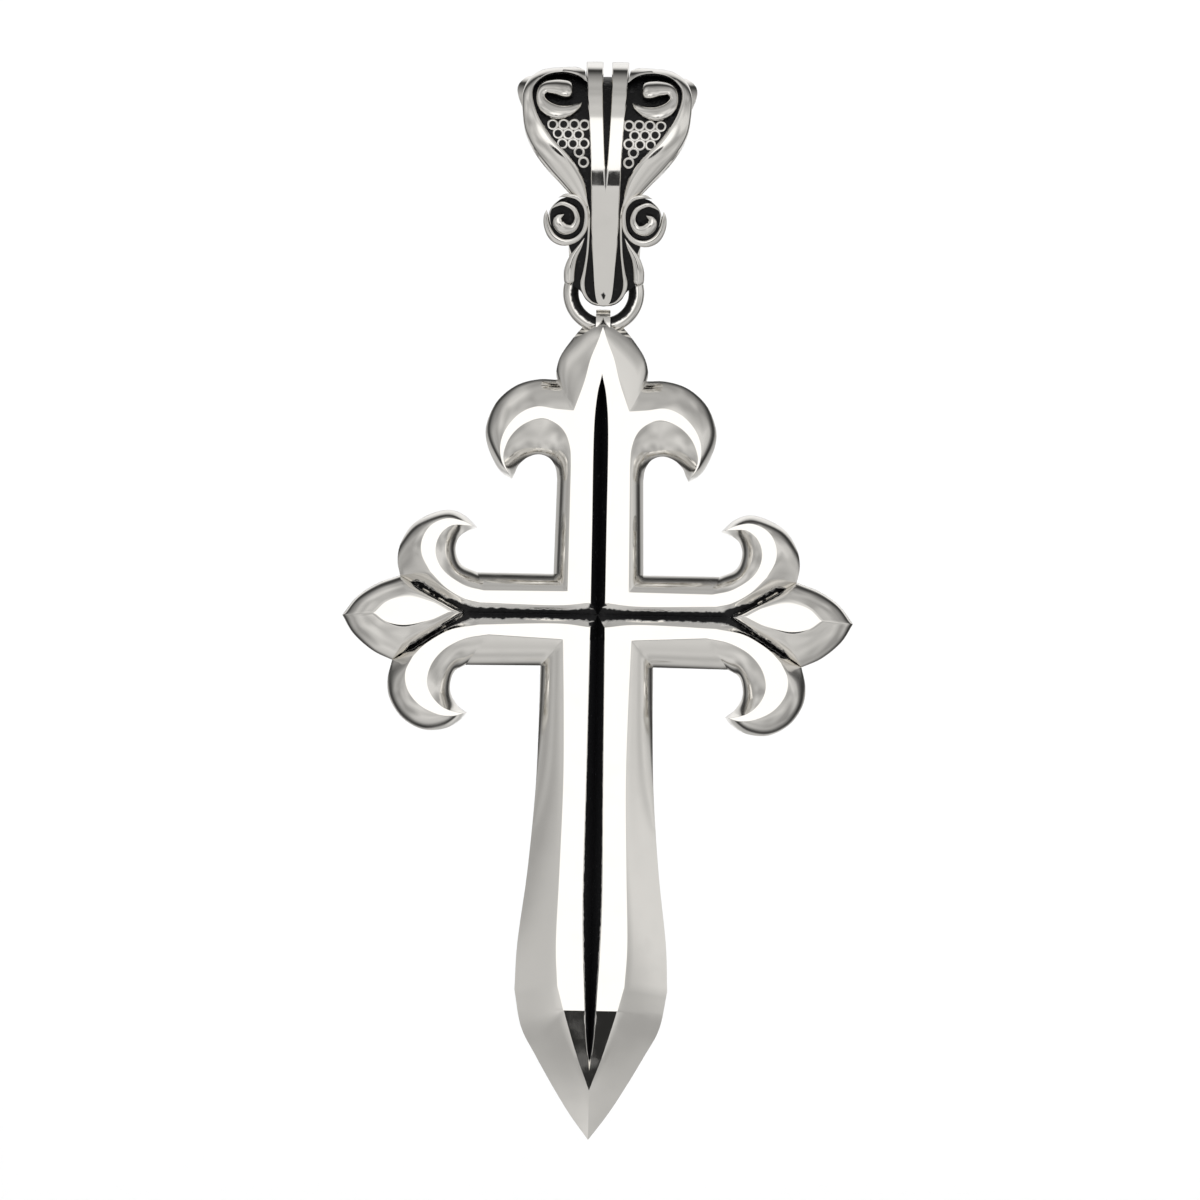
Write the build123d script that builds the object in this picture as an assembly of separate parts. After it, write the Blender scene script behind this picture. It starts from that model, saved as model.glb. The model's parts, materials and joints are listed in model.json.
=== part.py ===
from build123d import *
import os
from math import acos, atan2, cos, hypot, radians, sin, sqrt, tan

# A cross pendant: an ornate folded bail, a link ring and a fleury cross with a dagger blade.
# Millimetres. +Z is up as it hangs, the front faces -Y, +X is to the right of someone looking
# at the front. The origin is the middle of the bail's chain passage. Everything is symmetric
# about the plane X = 0.

# ---- driving sizes ----
passage_radius = 3.4        # clear radius of the tunnel that the chain runs through
saddle_wall = 1.2           # thickness of the folded saddle at the top
strap_proud = 1.1           # how far the split strap stands out of the saddle at the top
rim_proud = 0.8             # the heart-shaped rim
scroll_proud = 0.65         # the scrolls inside and below the heart
rail_proud = 0.35           # the rails beside the tongue
foot_proud = 0.25           # what every ornament thins down to at the foot
panel_half_width = 6.3      # middle of the bail to the tip of an ear
ring_drop = 8.2             # chain passage to the wire at the top of the ring
foot_half_depth = 1.0       # front to middle, at the bottom of the folded saddle
foot_half_width = 0.6       # the solid foot that runs through the ring
pocket_radius = 0.75        # the round pocket above the foot, where the ring's wire lies

wire_diameter = 1.1         # the ring's wire
ring_radius = 2.3           # middle of the ring to the middle of its wire
link_clearance = 0.17       # wire to the eye it hangs in, on each side
ring_gap = 0.3              # wire to everything it only passes
foot_gap = 0.24             # bail's foot to the cross's eye
eye_wall = 0.4              # thickness of the eye round its hole
eye_half_width = 0.5        # half the eye's length along the wire
eye_stem = 1.9              # how far below its hole the eye is let into the cross

ring_swing = 15.0           # degrees that the ring swings each way in the bail

cross_thickness = 3.2       # the cross, front to back
arm_reach = 17.9            # middle of the cross to the tip of a side petal
petal_depth = 8.4           # how far a side petal reaches in between its hooks
groove_wall = 0.5           # metal left between an arm's groove and its petal
bud_rise = 1.0              # the top bud's tip above the middle of the wire it hangs from
top_reach = 21.3            # crossing to the tip of the top bud
blade_reach = 36.8          # crossing to the tip of the blade
stave_half_width = 3.1      # the upright above the crossing
arm_rise = 2.85             # crossing to the upper edge of the side arms
arm_fall = 3.6              # crossing to the lower edge of the side arms
blade_root_half_width = 3.9
blade_belly_half_width = 5.35
waist_share = 0.46          # how far down the blade its narrow part is measured
waist_pinch = 0.1           # how far the sides curve in between the root and the widest part
belly_share = 0.715         # how far down the blade it is widest
shoulder_share = 0.89       # where the sides are halfway in to the point
groove_half_width = 0.5     # the V groove down the stave and the blade
groove_depth = 0.7
groove_end_gap = 4.6        # from the end of a groove to the end of the stave or the blade

# ---- places that follow from them ----
saddle_radius = passage_radius + saddle_wall
wire_radius = wire_diameter / 2
eye_hole_radius = wire_radius + link_clearance
eye_radius = eye_hole_radius + eye_wall
foot_reach = 2 * ring_radius - eye_radius - foot_gap      # top wire to the bottom of the foot
ring_top_z = -ring_drop
ring_middle_z = ring_top_z - ring_radius
ring_bottom_z = ring_top_z - 2 * ring_radius
foot_z = ring_top_z - foot_reach
bail_drop = -foot_z
bud_tip_z = ring_bottom_z + bud_rise
crossing_z = bud_tip_z - top_reach
front_y = -cross_thickness / 2
back_y = cross_thickness / 2
far = 40.0                  # longer than anything that is cut with it


# ---- helpers ----
def curve(points):
    """A smooth curve through the points, or a straight line where there are only two."""
    return Line(*points) if len(points) == 2 else Spline(*points)


def outline(*stretches):
    """A flat face whose edge is the stretches, each a list of points from the last one's end."""
    edges = [curve(stretch) for stretch in stretches]
    if hypot(stretches[-1][-1][0] - stretches[0][0][0], stretches[-1][-1][1] - stretches[0][0][1]) > 1e-6:
        edges.append(Line(stretches[-1][-1], stretches[0][0]))
    return make_face(Wire(edges))


def front_slab(face, y_front, y_back):
    """The face, drawn in X and Z, made solid from y_front to y_back."""
    return extrude(Plane.XZ.offset(-y_back) * face, amount=y_back - y_front)


def side_slab(face, half_width):
    """The face, drawn in Y and Z, made solid across X."""
    return extrude(Plane.YZ * face, amount=half_width, both=True)


def block(x0, x1, y0, y1, z0, z1):
    return Pos((x0 + x1) / 2, (y0 + y1) / 2, (z0 + z1) / 2) * Box(x1 - x0, y1 - y0, z1 - z0)


def moved(points, dx, dz):
    return [(x + dx, z + dz) for x, z in points]


def bail_points(points):
    """Points given as shares of the ear's half width and of the drop to the foot."""
    return [(x * panel_half_width, z * bail_drop) for x, z in points]


def save(name, shape):
    export_step(shape, os.path.join("parts", name + ".step"))


# ---- the bail, as seen from the side ----
def side_profile(top_extra, foot_extra):
    """The saddle's outer shape in Y and Z: an arch and two leaves that close towards the foot."""
    radius = saddle_radius + top_extra
    half_depth = foot_half_depth + foot_extra
    corner_z = ring_top_z - sqrt(foot_reach ** 2 - half_depth ** 2)
    turn = atan2(corner_z, half_depth) + acos(radius / hypot(half_depth, corner_z))
    shoulder = (radius * cos(turn), radius * sin(turn))
    arch = ThreePointArc(shoulder, (0, radius), (-shoulder[0], shoulder[1]))
    left_leaf = Line((-shoulder[0], shoulder[1]), (-half_depth, corner_z))
    sole = ThreePointArc((-half_depth, corner_z), (0, foot_z), (half_depth, corner_z))
    right_leaf = Line((half_depth, corner_z), shoulder)
    return make_face(Wire([arch, left_leaf, sole, right_leaf]))


def tunnel_profile():
    """The space inside the bail: the chain passage, narrowing to the pocket of the ring's wire."""
    lean = acos((passage_radius - pocket_radius) / ring_drop) - radians(90)
    upper = (passage_radius * cos(lean), passage_radius * sin(lean))
    lower = (pocket_radius * cos(lean), ring_top_z + pocket_radius * sin(lean))
    return make_face(Wire([
        ThreePointArc(upper, (0, passage_radius), (-upper[0], upper[1])),
        Line((-upper[0], upper[1]), (-lower[0], lower[1])),
        ThreePointArc((-lower[0], lower[1]), (0, ring_top_z - pocket_radius), lower),
        Line(lower, upper),
    ]))


def ring_wedge():
    """What the ring sweeps between the leaves as it swings, beside the foot."""
    near = pocket_radius
    reach = foot_reach + 2 * ring_gap
    spread = reach * tan(radians(ring_swing)) + (wire_radius + ring_gap / 2) / cos(radians(ring_swing))
    wedge = side_slab(make_face(Polyline(
        (near, ring_top_z), (spread, ring_top_z - reach),
        (-spread, ring_top_z - reach), (-near, ring_top_z), close=True)), far)
    return wedge - block(-foot_half_width, foot_half_width, -far, far, -far, far)


def layer(top_extra, foot_extra):
    """The skin outside the saddle that an ornament is cut from."""
    return side_slab(side_profile(top_extra, foot_extra), far) - side_slab(side_profile(0, 0), far)


# ---- the bail, as seen from the front: right half, as shares of ear and drop ----
heart_edge = bail_points([
    (0.86, 0.405), (0.995, 0.29), (0.935, 0.2), (0.905, 0.085), (0.85, 0.0), (0.76, -0.09),
    (0.63, -0.175), (0.475, -0.265), (0.40, -0.31)])
heart_inner_edge = bail_points([
    (0.19, -0.40), (0.235, -0.27), (0.31, -0.175), (0.43, -0.09), (0.59, 0.0), (0.70, 0.09),
    (0.79, 0.18), (0.82, 0.30), (0.67, 0.405), (0.50, 0.43), (0.21, 0.355)])
heart_top = bail_points([(0.21, 0.45), (0.49, 0.49), (0.86, 0.405)])
curl_middle = bail_points([(0.53, 0.28)])[0]
curl_radius = 1.35
small_curl_middle = bail_points([(0.405, -0.47)])[0]
small_curl_radius = 1.62
scroll_overhang = 0.2       # how far a neck scroll stands out past the saddle under it
strap_edge = bail_points([
    (0.238, 0.44), (0.183, 0.0), (0.155, -0.26), (0.145, -0.53), (0.125, -0.75), (0.085, -0.95)])
strap_tip = bail_points([(0.085, -0.95), (0.05, -0.99), (0.0, -1.0)])
inner_rail_edge = bail_points([
    (0.18, -0.40), (0.195, -0.55), (0.215, -0.72), (0.245, -0.85), (0.235, -0.92), (0.165, -0.97),
    (0.08, -0.995)])
outer_rail_edge = bail_points([(0.255, -0.62), (0.325, -0.74), (0.395, -0.86)])
outer_rail_inner_edge = bail_points([(0.315, -0.86), (0.255, -0.75), (0.20, -0.66)])
strap_gap_half_width = 0.3
strap_gap_end = -0.31 * bail_drop


def disc(middle, radius):
    return Pos(middle[0], middle[1]) * Circle(radius)


def make_bail():
    """The saddle and its ornament. Each piece is cut clear of the ones it lies against."""
    panel = outline([(0, saddle_radius + 1), (heart_edge[0][0], saddle_radius + 1)],
                    [(heart_edge[0][0], saddle_radius + 1), heart_edge[0]],
                    heart_edge,
                    [heart_edge[-1], (0, heart_edge[-1][1])])
    neck_points = bail_points([(0.40, -0.31), (0.40, -0.62), (0.38, -0.86), (0.235, -0.90)])
    neck = make_face(Polyline((0, neck_points[0][1]), *neck_points, (foot_half_width, foot_z),
                              (foot_half_width, foot_z - 1), (0, foot_z - 1), close=True))
    half = front_slab(panel, -far, far) + front_slab(neck, -far, far)
    half += front_slab(disc(small_curl_middle, small_curl_radius - scroll_overhang), -far, far)
    silhouette = half + mirror(half, Plane.YZ)
    saddle = silhouette & (side_slab(side_profile(0, 0), far) - side_slab(tunnel_profile(), far))
    saddle -= ring_wedge()

    strap_half = outline([(0, saddle_radius + 2), (strap_edge[0][0], saddle_radius + 2)],
                         [(strap_edge[0][0], saddle_radius + 2), strap_edge[0]],
                         strap_edge, strap_tip)
    gap = outline([(0, saddle_radius + 2), (strap_gap_half_width, saddle_radius + 2)],
                  [(strap_gap_half_width, saddle_radius + 2), (strap_gap_half_width, passage_radius)],
                  [(strap_gap_half_width, passage_radius), (0, strap_gap_end)])
    strap_layer = layer(strap_proud, foot_proud)
    strap = front_slab(strap_half, -far, far)
    strap = (strap + mirror(strap, Plane.YZ)) & strap_layer
    gap = front_slab(gap, -far, far)
    strap -= gap + mirror(gap, Plane.YZ)

    rim = outline(heart_inner_edge, [heart_inner_edge[-1], heart_top[0]], heart_top, heart_edge,
                  [heart_edge[-1], heart_inner_edge[0]])
    rim = (front_slab(rim, -far, far) & layer(rim_proud, foot_proud)) - strap
    inner_rail = outline(inner_rail_edge, [inner_rail_edge[-1], (0, inner_rail_edge[-1][1])],
                         [(0, inner_rail_edge[-1][1]), (0, inner_rail_edge[0][1])])
    inner_rail = (front_slab(inner_rail, -far, 0) & layer(rail_proud, foot_proud)) - strap - rim
    curl = front_slab(disc(curl_middle, curl_radius), -far, 0) & layer(scroll_proud, foot_proud)
    curl = curl - rim - strap
    small_curl = front_slab(disc(small_curl_middle, small_curl_radius), -far, 0)
    small_curl = (small_curl & layer(scroll_proud, foot_proud)) - rim - strap - inner_rail
    outer_rail = outline(outer_rail_edge, [outer_rail_edge[-1], outer_rail_inner_edge[0]],
                         outer_rail_inner_edge, [outer_rail_inner_edge[-1], outer_rail_edge[0]])
    outer_rail = front_slab(outer_rail, -far, 0) & layer(rail_proud, foot_proud)
    outer_rail = outer_rail - inner_rail - small_curl - strap
    save("bail_saddle", saddle)
    save("split_strap", strap)
    for name, piece in (("heart_rim", rim), ("heart_scroll", curl), ("neck_scroll", small_curl),
                        ("inner_rail", inner_rail), ("outer_rail", outer_rail)):
        save(name + "_right", piece)
        save(name + "_left", mirror(piece, Plane.YZ))


# ---- the ring ----
def make_ring():
    ring = Pos(0, 0, ring_middle_z) * Rot(90, 0, 0) * Torus(ring_radius, wire_radius)
    save("link_ring", ring)


# ---- the cross: right half, hooks and petal measured from the end of their own arm ----
def top_part():
    """The bud and the hook beside it, measured from the bud's tip."""
    bud = moved([(0, 0), (1.5, -1.2), (2.95, -3.2), (3.15, -4.8)], 0, bud_tip_z)
    crown = moved([(3.15, -4.8), (4.5, -4.85), (6.0, -5.3), (7.3, -6.4), (8.05, -8.4), (7.6, -10.4),
                   (6.2, -11.85)], 0, bud_tip_z)
    inside = moved([(6.2, -11.85), (5.75, -10.9), (4.35, -10.1), (stave_half_width, -11.0)], 0, bud_tip_z)
    return bud, crown, inside


def side_part():
    """The two hooks and the petal of a side arm, measured from the petal's tip."""
    upper_in = moved([(-9.1, arm_rise), (-7.85, 4.3), (-8.5, 5.65), (-9.35, 6.0)], arm_reach, crossing_z)
    upper_out = moved([(-9.35, 6.0), (-7.4, 7.2), (-4.8, 6.1), (-3.85, 4.1), (-4.0, 2.5)],
                      arm_reach, crossing_z)
    lower_out = moved([(-3.5, -3.4), (-3.25, -4.8), (-4.35, -7.45), (-7.25, -8.15), (-8.85, -7.0)],
                      arm_reach, crossing_z)
    lower_in = moved([(-8.85, -7.0), (-7.65, -5.3), (-8.7, -arm_fall)], arm_reach, crossing_z)
    petal_inner = (arm_reach - petal_depth, crossing_z)
    petal_upper = moved([(-4.0, 2.5), (-1.0, 0.95), (0, -0.3)], arm_reach, crossing_z)
    petal_lower = moved([(0, -0.3), (-2.15, -2.75), (-3.5, -3.4)], arm_reach, crossing_z)
    return upper_in, upper_out, lower_out, lower_in, petal_inner, petal_upper, petal_lower


def groove():
    """The V grooves of the stave, the blade and the side arms."""
    section = make_face(Polyline((-groove_half_width, front_y), (groove_half_width, front_y),
                                 (0, front_y + groove_depth), close=True))
    top_z = bud_tip_z - groove_end_gap
    bottom_z = crossing_z - blade_reach + groove_end_gap
    upright = extrude(Plane.XY.offset(bottom_z) * section, amount=top_z - bottom_z)
    arm_section = make_face(Polyline((front_y, -groove_half_width), (front_y + groove_depth, 0),
                                     (front_y, groove_half_width), close=True))
    arm = side_slab(Pos(0, crossing_z) * arm_section, arm_reach - petal_depth - groove_wall)
    return upright + arm


def make_cross():
    bud, crown, inside = top_part()
    upper_in, upper_out, lower_out, lower_in, petal_inner, petal_upper, petal_lower = side_part()
    stave_corner = (stave_half_width, crossing_z + arm_rise)
    blade_corner = (blade_root_half_width, crossing_z - arm_fall)
    belly = (blade_belly_half_width, crossing_z - belly_share * blade_reach)
    waist_half_width = (blade_root_half_width + blade_belly_half_width) / 2 - waist_pinch
    waist = (waist_half_width, crossing_z - waist_share * blade_reach)
    tip = (0, crossing_z - blade_reach)
    shoulder = (blade_belly_half_width / 2, crossing_z - shoulder_share * blade_reach)
    half = outline(bud, crown, inside,
                   [inside[-1], stave_corner], [stave_corner, upper_in[0]],
                   upper_in, upper_out, [upper_out[-1], petal_inner], [petal_inner, lower_out[0]],
                   lower_out, lower_in, [lower_in[-1], blade_corner],
                   [blade_corner, waist, belly], [belly, shoulder, tip], [tip, (0, bud_tip_z)])
    half = front_slab(half, front_y, back_y)
    body = half + mirror(half, Plane.YZ) - groove()

    relief_radius = wire_radius + ring_gap
    relief = Pos(0, 0, ring_bottom_z) * Rot(0, 90, 0) * Cylinder(relief_radius, far)
    relief += block(-far / 2, far / 2, -relief_radius, far, ring_bottom_z, ring_bottom_z + far)
    stem_half_depth = relief_radius
    lug_face = Pos(0, ring_bottom_z) * Circle(eye_radius)
    lug_face += make_face(Polyline(
        (-stem_half_depth, ring_bottom_z), (stem_half_depth, ring_bottom_z),
        (stem_half_depth, ring_bottom_z - eye_stem), (-stem_half_depth, ring_bottom_z - eye_stem),
        close=True))
    lug = side_slab(lug_face, eye_half_width)
    body -= relief + lug
    lug -= Pos(0, 0, ring_bottom_z) * Rot(0, 90, 0) * Cylinder(eye_hole_radius, far)

    petal = front_slab(outline([petal_inner, petal_upper[0]], petal_upper, petal_lower,
                               [petal_lower[-1], petal_inner]), front_y, back_y)
    save("cross_body", body)
    save("ring_eye", lug)
    save("petal_right", petal)
    save("petal_left", mirror(petal, Plane.YZ))


os.makedirs("parts", exist_ok=True)
make_bail()
make_ring()
make_cross()
print("ring top axis z", round(ring_top_z, 3), "ring bottom axis z", round(ring_bottom_z, 3))
print("foot z", round(foot_z, 3), "bud tip z", round(bud_tip_z, 3), "crossing z", round(crossing_z, 3))
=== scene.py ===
import json
from math import cos, pi, radians, sin, sqrt, tan

import bmesh
import bpy
from mathutils import Matrix, Vector


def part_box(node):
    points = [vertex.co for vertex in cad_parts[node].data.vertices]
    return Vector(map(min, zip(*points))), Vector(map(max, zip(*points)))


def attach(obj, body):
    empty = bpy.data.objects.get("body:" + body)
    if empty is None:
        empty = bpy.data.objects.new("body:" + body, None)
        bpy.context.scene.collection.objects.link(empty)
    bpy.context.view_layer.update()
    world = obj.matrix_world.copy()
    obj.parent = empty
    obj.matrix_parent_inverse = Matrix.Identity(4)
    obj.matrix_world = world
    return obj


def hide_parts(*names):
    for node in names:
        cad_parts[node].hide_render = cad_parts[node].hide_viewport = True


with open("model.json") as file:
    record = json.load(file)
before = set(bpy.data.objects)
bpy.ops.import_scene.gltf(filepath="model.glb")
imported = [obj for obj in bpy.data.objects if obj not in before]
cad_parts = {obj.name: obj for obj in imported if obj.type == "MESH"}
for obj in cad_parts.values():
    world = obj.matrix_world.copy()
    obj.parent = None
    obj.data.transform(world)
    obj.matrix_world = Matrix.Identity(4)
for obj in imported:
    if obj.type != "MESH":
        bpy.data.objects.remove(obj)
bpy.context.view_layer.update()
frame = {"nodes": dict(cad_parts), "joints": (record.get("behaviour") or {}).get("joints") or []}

mm = 0.001


def edgeOf(node, corner, axis):
    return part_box(node)[corner][axis] / mm


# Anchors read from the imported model, in millimetres
frontY = edgeOf("cross_body", 0, 1)
backY = edgeOf("cross_body", 1, 1)
budTopZ = edgeOf("cross_body", 1, 2)
budReach = 21.3             # mm from the crossing up to the tip of the top bud
crossingZ = budTopZ - budReach
joints = {joint["name"]: joint for joint in frame["joints"]}
ringBottomZ = joints["cross_swing"]["pos_m"][2] / mm
saddleRadius = edgeOf("bail_saddle", 1, 1)


# Paths and lofts. A path is a list of legs, each a few given points that a smooth line runs through
def flow(points, steps):
    pts = [Vector(p) for p in points]
    if len(pts) == 2:
        return [pts[0].lerp(pts[1], i / steps) for i in range(steps + 1)]
    pts = [2 * pts[0] - pts[1]] + pts + [2 * pts[-1] - pts[-2]]
    fine = [pts[1]]
    for a, b, c, d in zip(pts, pts[1:], pts[2:], pts[3:]):
        for i in range(1, 17):
            t = i / 16
            fine.append(0.5 * (2 * b + (c - a) * t + (2 * a - 5 * b + 4 * c - d) * t ** 2
                               + (3 * b - a - 3 * c + d) * t ** 3))
    lengths = [0.0]
    for a, b in zip(fine, fine[1:]):
        lengths.append(lengths[-1] + (b - a).length)
    out, j = [], 0
    for i in range(steps + 1):
        want = lengths[-1] * i / steps
        while j < len(fine) - 2 and lengths[j + 1] < want:
            j += 1
        span = lengths[j + 1] - lengths[j]
        out.append(fine[j].lerp(fine[j + 1], (want - lengths[j]) / span if span else 0.0))
    return out


def route(legs):
    out = []
    for steps, points in legs:
        out += flow(points, steps)[1 if out else 0:]
    return out


def loftLanes(bm, lanes):
    # lanes: rows of (point, darkness from patina and painted shade, material); each next row is extruded from
    # the last and moved
    patina_and_shade = bm.verts.layers.float.get("patina_and_shade") or bm.verts.layers.float.new("patina_and_shade")
    row = []
    for point, dark, _ in lanes[0]:
        vert = bm.verts.new(point * mm)
        vert[patina_and_shade] = dark
        row.append(vert)
    edges = [bm.edges.new(pair) for pair in zip(row, row[1:])]
    for lane in lanes[1:]:
        made = bmesh.ops.extrude_edge_only(bm, edges=edges)["geom"]
        old = set(row)
        fresh = {}
        for vert in (g for g in made if isinstance(g, bmesh.types.BMVert)):
            for edge in vert.link_edges:
                if edge.other_vert(vert) in old:
                    fresh[edge.other_vert(vert)] = vert
        row = [fresh[vert] for vert in row]
        for vert, (point, dark, _) in zip(row, lane):
            vert.co = point * mm
            vert[patina_and_shade] = dark
        for a, b, (_, _, slot) in zip(row, row[1:], lane):
            for face in bm.edges.get((a, b)).link_faces:
                face.material_index = slot
        edges = [bm.edges.get(pair) for pair in zip(row, row[1:])]


def roundOver(low, high, count):
    # shares (along, down) of a rounded shoulder whose slope runs from low to high degrees
    a, b = radians(low), radians(high)
    out = []
    for i in range(count + 1):
        t = a + (b - a) * i / count
        out.append(((sin(t) - sin(a)) / (sin(b) - sin(a)), (cos(a) - cos(t)) / (cos(a) - cos(b))))
    return out


def weighNormals(piece):
    even = piece.modifiers.new("even", "WEIGHTED_NORMAL")
    even.keep_sharp = True
    even.weight = 100


def fillLevels(bm):
    # close the flat front and back with triangles
    for level in (frontY, backY):
        bare = [e for e in bm.edges if len(e.link_faces) == 1
                and all(abs(v.co.y / mm - level) < 1e-3 for v in e.verts)]
        bmesh.ops.triangle_fill(bm, use_beauty=True, use_dissolve=False, edges=bare)


def newPiece(name, bm, body, nodes, materials, sharp=28, mirrored=True, bevel=0.0,
             flatFaces=False):
    # sharp: degrees between faces above which an edge is kept hard, or rounded by the bevel in mm
    if mirrored:
        bmesh.ops.mirror(bm, geom=bm.verts[:] + bm.edges[:] + bm.faces[:], axis="X", merge_dist=1e-7)
    bmesh.ops.remove_doubles(bm, verts=bm.verts[:], dist=4e-6)
    bmesh.ops.dissolve_degenerate(bm, dist=1e-6, edges=bm.edges[:])
    bmesh.ops.recalc_face_normals(bm, faces=bm.faces[:])
    if bevel:
        keen = [e for e in bm.edges if len(e.link_faces) == 2 and e.calc_face_angle() > radians(sharp)
                and not any(abs(v.co.x) < 0.12 * mm for v in e.verts)]
        bmesh.ops.bevel(bm, geom=keen, offset=bevel * mm, offset_type="OFFSET", affect="EDGES", segments=2,
                        profile=0.5, material=-1, clamp_overlap=True)
    bm.normal_update()
    for face in bm.faces:
        face.smooth = not flatFaces or abs(face.normal.y) < 0.99995
    for edge in bm.edges:
        if len(edge.link_faces) == 2 and edge.calc_face_angle() > radians(sharp):
            edge.smooth = False
    mesh = bpy.data.meshes.new(name)
    bm.to_mesh(mesh)
    openEdges = sum(1 for e in bm.edges if len(e.link_faces) != 2)
    bm.free()
    piece = bpy.data.objects.new(name, mesh)
    bpy.context.scene.collection.objects.link(piece)
    for material in materials:
        mesh.materials.append(material)
    if flatFaces:
        weighNormals(piece)
    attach(piece, body)
    if nodes:
        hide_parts(*nodes)
    print(name, "triangles", sum(len(p.vertices) - 2 for p in mesh.polygons), "open edges", openEdges)
    return piece


# Materials
def linearColor(code):
    parts = [int(code[i:i + 2], 16) / 255 for i in (1, 3, 5)]
    return tuple(c / 12.92 if c <= 0.04045 else ((c + 0.055) / 1.055) ** 2.4 for c in parts) + (1.0,)


def addNode(tree, kind, settings=None, links=None):
    # settings go to the socket of that name or number, or else to the node's own property
    node = tree.nodes.new("ShaderNode" + kind)
    for name, value in (settings or {}).items():
        if isinstance(name, int) or name in node.inputs.keys():
            node.inputs[name].default_value = value
        else:
            setattr(node, name, value)
    for name, socket in (links or {}).items():
        tree.links.new(socket, node.inputs[name])
    return node


def newMaterial(name):
    material = bpy.data.materials.new(name)
    material.use_nodes = True
    material.node_tree.nodes.clear()
    return material, material.node_tree


silverLook = {
    "silver": "#F3F1ED", "silverRoughness": 0.05,
    "hazeSize": 1.6, "hazeRoughness": 0.17,      # mm and roughness of the patches that were buffed less
    "patina_and_shade": "#111113", "wornPatina": "#3A3A3B", "patinaRoughness": 0.42,
    "grainSize": 0.22,          # mm between the soft dents that hand polishing leaves
    "pitSize": 0.12,            # mm, the pitting of the blackened recesses
}


# Sterling silver, cast and polished by hand: mirror bright, with slow dents, and black sulphide left where
# the buff doesn't reach. The piece's own patina attribute says where that is, and it also holds painted
# shade: the ring wire's inner half and the outer edge of the cross's inner bevels are painted dark for the
# shade that falls there.
def polishedSilver():
    look = silverLook
    material, tree = newMaterial("sterling_silver_cast_polished")
    place = addNode(tree, "TexCoord").outputs["Object"]
    mask = addNode(tree, "Attribute", {"attribute_name": "patina_and_shade"}).outputs["Fac"]
    speck = addNode(tree, "TexNoise", {"Scale": 1 / (look["pitSize"] * mm * 3), "Detail": 3.0},
                    {"Vector": place})
    mixed = addNode(tree, "Math", {"operation": "MULTIPLY_ADD", 1: 0.5, 2: -0.25},
                    {0: speck.outputs["Fac"]})
    total = addNode(tree, "Math", {"operation": "ADD"}, {0: mask, 1: mixed.outputs[0]})
    edge = addNode(tree, "MapRange", {"From Min": 0.42, "From Max": 0.58}, {"Value": total.outputs[0]})
    color = addNode(tree, "Mix", {"data_type": "RGBA", 6: linearColor(look["silver"]),
                                            7: linearColor(look["patina_and_shade"])}, {0: edge.outputs[0]})
    haze = addNode(tree, "TexNoise", {"Scale": 1 / (look["hazeSize"] * mm), "Detail": 3.0},
                   {"Vector": place})
    buffed = addNode(tree, "MapRange", {"From Min": 0.4, "From Max": 0.7, "To Min": look["silverRoughness"],
                                        "To Max": look["hazeRoughness"]}, {"Value": haze.outputs["Fac"]})
    rough = addNode(tree, "MapRange", {"To Max": look["patinaRoughness"]},
                    {"Value": edge.outputs[0], "To Min": buffed.outputs[0]})
    dents = addNode(tree, "TexNoise", {"Scale": 1 / (look["grainSize"] * mm * 8), "Detail": 1.0},
                    {"Vector": place})
    pits = addNode(tree, "TexNoise", {"Scale": 1 / (look["pitSize"] * mm * 1.5), "Detail": 2.0},
                   {"Vector": place})
    slow = addNode(tree, "Bump", {"Strength": 0.06, "Distance": 0.0001}, {"Height": dents.outputs["Fac"]})
    deep = addNode(tree, "Math", {"operation": "MULTIPLY"}, {0: pits.outputs["Fac"], 1: edge.outputs[0]})
    rugged = addNode(tree, "Bump", {"Strength": 0.5, "Distance": 0.00008},
                     {"Height": deep.outputs[0], "Normal": slow.outputs[0]})
    metal = addNode(tree, "MapRange", {"To Min": 1.0, "To Max": 0.35}, {"Value": edge.outputs[0]})
    shader = addNode(tree, "BsdfPrincipled", {},
                     {"Base Color": color.outputs[2], "Roughness": rough.outputs[0],
                      "Metallic": metal.outputs[0], "Normal": rugged.outputs[0]})
    addNode(tree, "OutputMaterial", {}, {"Surface": shader.outputs[0]})
    return material


# The same silver blackened with liver of sulphur and left: dull, pitted, nearly black
def blackenedSilver():
    look = silverLook
    material, tree = newMaterial("sterling_silver_oxidised")
    place = addNode(tree, "TexCoord").outputs["Object"]
    cloud = addNode(tree, "TexNoise", {"Scale": 1 / (look["pitSize"] * mm * 4), "Detail": 4.0},
                    {"Vector": place})
    worn = addNode(tree, "MapRange", {"From Min": 0.62, "From Max": 0.78}, {"Value": cloud.outputs["Fac"]})
    color = addNode(tree, "Mix", {"data_type": "RGBA", 6: linearColor(look["patina_and_shade"]),
                                            7: linearColor(look["wornPatina"])}, {0: worn.outputs[0]})
    pits = addNode(tree, "TexVoronoi", {"Scale": 1 / (look["pitSize"] * mm * 2)}, {"Vector": place})
    rugged = addNode(tree, "Bump", {"Strength": 0.6, "Distance": 0.00006},
                     {"Height": pits.outputs["Distance"]})
    shader = addNode(tree, "BsdfPrincipled", {"Metallic": 0.5, "Roughness": look["patinaRoughness"]},
                     {"Base Color": color.outputs[2], "Normal": rugged.outputs[0]})
    addNode(tree, "OutputMaterial", {}, {"Surface": shader.outputs[0]})
    return material


silver = polishedSilver()
blackened = blackenedSilver()
print("materials made")


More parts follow.
